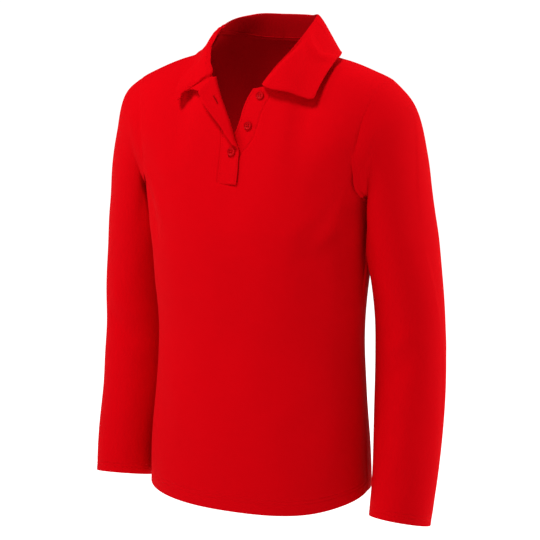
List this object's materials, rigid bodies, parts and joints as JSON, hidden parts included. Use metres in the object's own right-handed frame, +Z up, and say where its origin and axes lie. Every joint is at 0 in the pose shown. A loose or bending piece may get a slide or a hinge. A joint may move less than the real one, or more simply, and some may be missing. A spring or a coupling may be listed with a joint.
{
  "type": "long-sleeve polo shirt",
  "caption": "Filled-out long-sleeve polo shirt with a turned-down collar and a short placket worn open over the fastened button.",
  "frame": {"origin": "point between the two shoulder seams at the neck, where the wearer's shoulders hold the shirt", "axes": "+Z up, the front faces -Y and the wearer's left side is +X"},
  "size_m": [0.5231, 0.2402, 0.7014],
  "materials": {
    "cloth": "smooth matt knit",
    "button": "semi-gloss"
  },
  "bodies": {
    "root": {"front": "cloth", "back": "cloth", "sleeve_left": "cloth", "sleeve_right": "cloth", "collar": "cloth", "placket_over": "cloth", "placket_under": "cloth", "button_top": "button", "button_mid": "button", "button_low": "button"}
  },
  "joints": []
}
